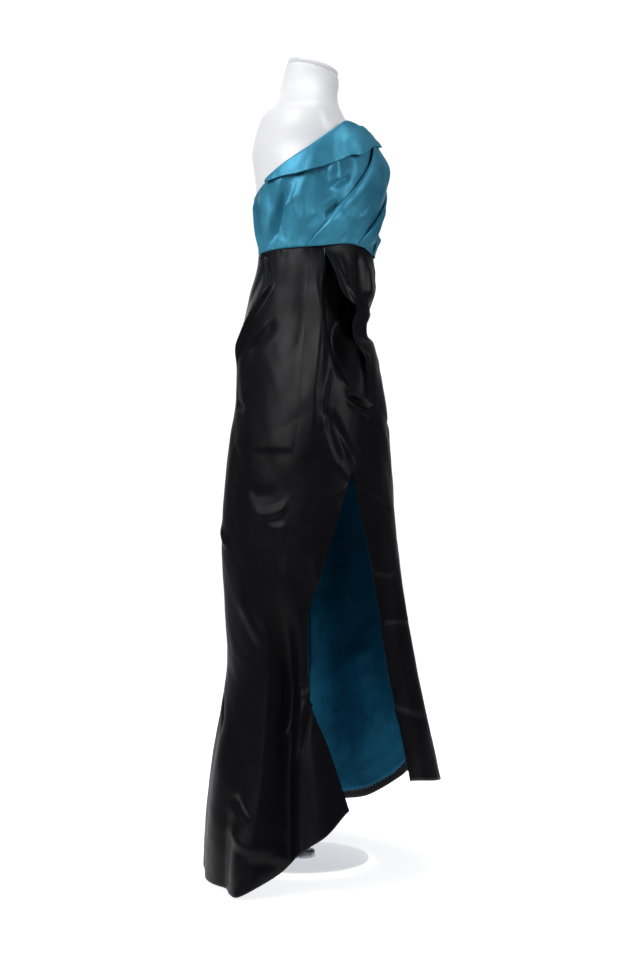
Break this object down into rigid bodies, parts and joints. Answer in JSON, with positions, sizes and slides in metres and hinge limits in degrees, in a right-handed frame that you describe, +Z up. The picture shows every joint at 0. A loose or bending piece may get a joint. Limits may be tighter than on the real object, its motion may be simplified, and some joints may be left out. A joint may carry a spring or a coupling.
{
  "type": "strapless evening gown on dress form with stand",
  "caption": "Strapless satin gown with a draped bodice, fold-over collar, hip swag, high side slit and short train, on a limbless dress form.",
  "frame": {"origin": "centre of the underside of the stand's base, on the floor", "axes": "+Z up; the wearer faces -Y, and the wearer's right side is towards -X"},
  "size_m": [0.6023, 0.4294, 1.5144],
  "materials": {
    "teal_satin": "heavy teal satin",
    "black_satin": "heavy black duchess satin",
    "teal_lining": "light teal satin lining",
    "form_white": "white satin-gloss shell",
    "stand_white": "white powder coat",
    "stand_steel": "brushed steel"
  },
  "bodies": {
    "root": {"bodice_back_right": "teal_satin", "bodice_front": "teal_satin", "bodice_back_left": "teal_satin", "drape_band_1": "teal_satin", "drape_band_2": "teal_satin", "drape_band_3": "teal_satin", "collar": "teal_satin", "back_zip": "teal_satin", "skirt_back_right": "black_satin", "skirt_wrap_right": "black_satin", "skirt_front": "black_satin", "skirt_back_left": "black_satin", "hip_swag": "black_satin", "back_seam": "black_satin", "lining_back_right": "teal_lining", "lining_wrap_right": "teal_lining", "lining_front": "teal_lining", "lining_back_left": "teal_lining", "form_torso": "form_white", "form_neck_cap": "form_white", "form_flange": "stand_steel", "stand_pole": "stand_steel", "stand_base": "stand_white"}
  },
  "joints": []
}
